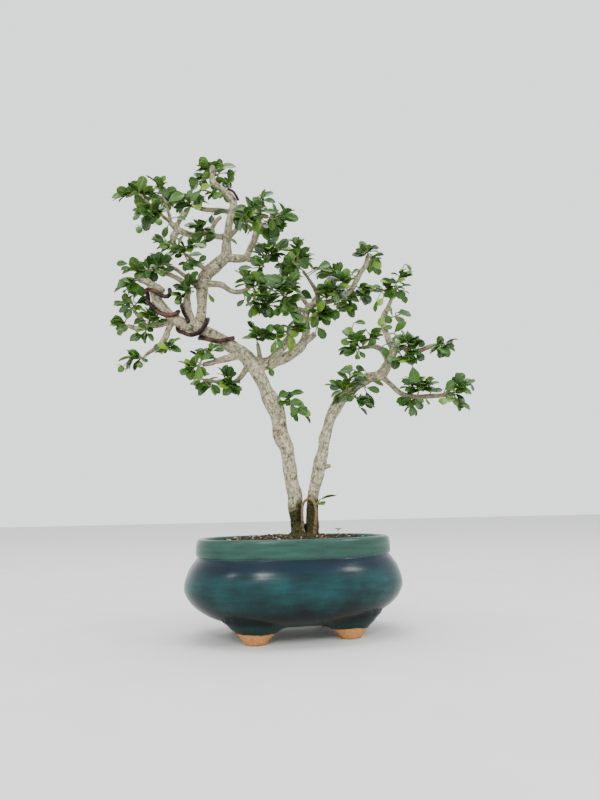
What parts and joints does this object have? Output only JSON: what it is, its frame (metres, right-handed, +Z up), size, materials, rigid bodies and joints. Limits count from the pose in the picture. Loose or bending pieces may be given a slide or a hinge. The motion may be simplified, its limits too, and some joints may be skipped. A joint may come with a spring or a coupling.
{
  "type": "fukien tea bonsai",
  "caption": "Twin-trunk fukien tea bonsai with wired branches and small glossy leaves, in a glazed oval pot on low feet.",
  "frame": {"origin": "on the floor under the middle of the pot, which is also close under the middle of the whole plant's box", "axes": "+Z up; +X along the pot's long side, to the right seen from its front; -Y is the front"},
  "size_m": [0.338, 0.1551, 0.4483],
  "materials": {
    "glaze": "gloss",
    "mesh": "matte",
    "soil": "matte",
    "bark": "matte",
    "wire": "satin",
    "leaf": "satin"
  },
  "bodies": {
    "root": {"drain_screen": "mesh", "pot": "glaze", "riser_wire": "wire", "soil": "soil", "spray_apex_right": "leaf", "spray_apex_top": "leaf", "spray_bough_right_spray": "leaf", "spray_bough_spray": "leaf", "spray_cross_crown": "leaf", "spray_cross_left_spray": "leaf", "spray_cross_low": "leaf", "spray_cross_low_right": "leaf", "spray_cross_side": "leaf", "spray_cross_tip": "leaf", "spray_cross_top": "leaf", "spray_cross_up_spray": "leaf", "spray_crown_left": "leaf", "spray_crown_spray": "leaf", "spray_far_left": "leaf", "spray_far_left_low": "leaf", "spray_fore_left_spray": "leaf", "spray_fore_spray": "leaf", "spray_high_left": "leaf", "spray_inner_left": "leaf", "spray_inner_right_spray": "leaf", "spray_knob_spray": "leaf", "spray_limb_spray": "leaf", "spray_low_front_spray": "leaf", "spray_low_left_hang": "leaf", "spray_low_left_high": "leaf", "spray_low_left_inner": "leaf", "spray_low_left_mid": "leaf", "spray_low_left_tip": "leaf", "spray_low_rear_mid": "leaf", "spray_low_rear_right_spray": "leaf", "spray_low_rear_spray": "leaf", "spray_low_right_spray": "leaf", "spray_low_right_top": "leaf", "spray_low_right_under": "leaf", "spray_mid_left_spray": "leaf", "spray_mid_right_low": "leaf", "spray_mid_right_spray": "leaf", "spray_pale_spray": "leaf", "spray_rear_left_spray": "leaf", "spray_rear_spray": "leaf", "spray_rear_top_spray": "leaf", "spray_riser_low": "leaf", "spray_riser_spray": "leaf", "spray_short_spray": "leaf", "spray_top_right_end": "leaf", "spray_top_right_low": "leaf", "spray_trunk_foot_spray": "leaf", "spray_trunk_spray": "leaf", "spray_up_right_foot": "leaf", "spray_up_right_low": "leaf", "spray_up_right_spray": "leaf", "training_wire": "wire", "tree": "bark", "upper_wire": "wire"}
  },
  "joints": []
}
